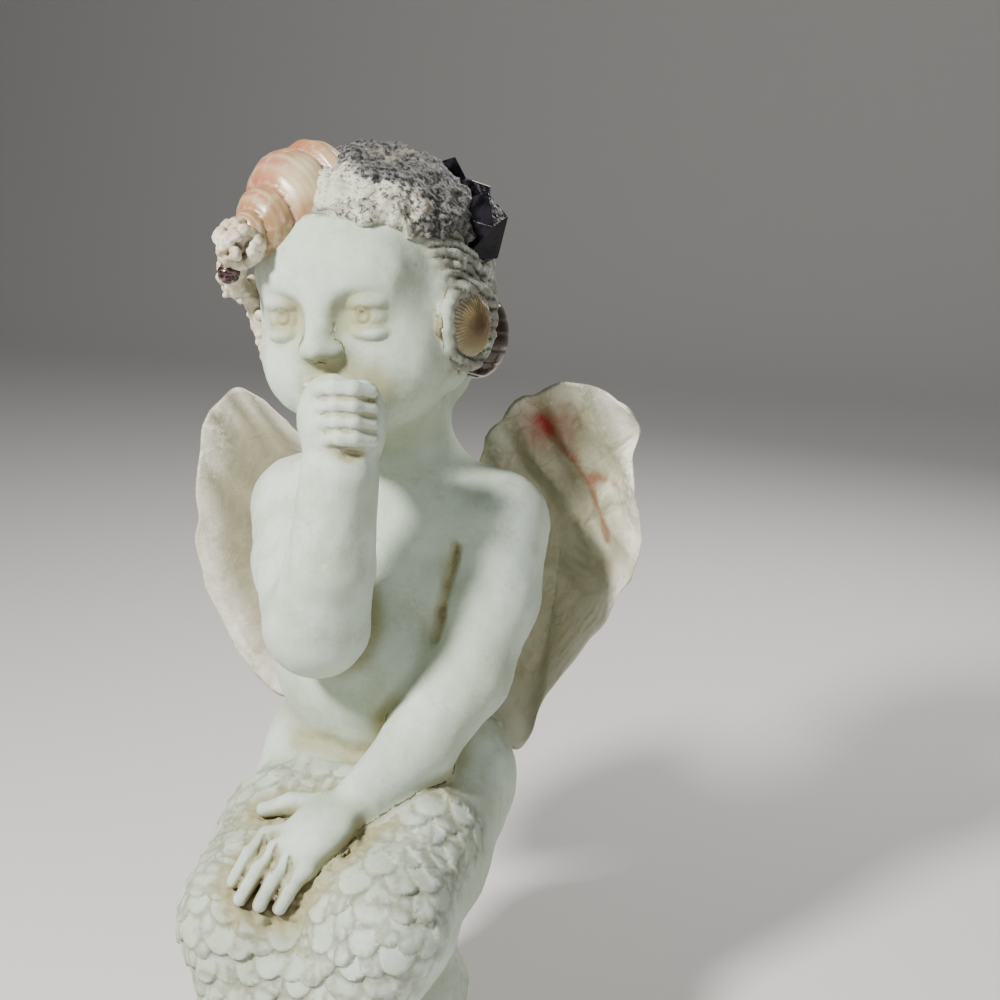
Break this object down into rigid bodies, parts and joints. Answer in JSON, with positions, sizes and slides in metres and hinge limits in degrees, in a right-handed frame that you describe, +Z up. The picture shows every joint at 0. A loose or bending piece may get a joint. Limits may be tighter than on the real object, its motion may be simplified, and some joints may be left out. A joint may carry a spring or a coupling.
{
  "type": "mermaid angel figurine",
  "caption": "Seated child angel with a scaled mermaid tail, oyster shell wings and a headdress of sea shells, barnacles and black crystal, on a low rock base.",
  "frame": {"origin": "middle of the flat underside of the low base", "axes": "+Z up, the figure faces -Y, its left side is +X"},
  "size_m": [0.1747, 0.1566, 0.337],
  "materials": {
    "figure_casting": "matte off-white cast clay with an ochre and grey antiquing wash in its hollows",
    "oyster_shell": "natural oyster shell, satin cream inside with beige growth bands and a red-brown stain",
    "whelk": "polished sea shell in pink, cream and gold bands",
    "crust": "rough shell crust, white along the front and speckled dark grey on top",
    "barnacles": "rough cream barnacle shell",
    "crystal": "glossy black faceted crystal",
    "limpet": "ribbed limpet shell, brown middle and cream rim",
    "brown_gloss_shell": "polished dark brown shell",
    "bead": "polished dark metallic bead"
  },
  "bodies": {
    "root": {"figure": "figure_casting", "left_wing_shell": "oyster_shell", "right_wing_shell": "oyster_shell", "whelk_shell": "whelk", "barnacle_crust": "crust", "barnacle_cluster": "barnacles", "black_crystal": "crystal", "limpet_shell": "limpet", "brown_shell": "brown_gloss_shell", "dark_bead": "bead"}
  },
  "joints": []
}
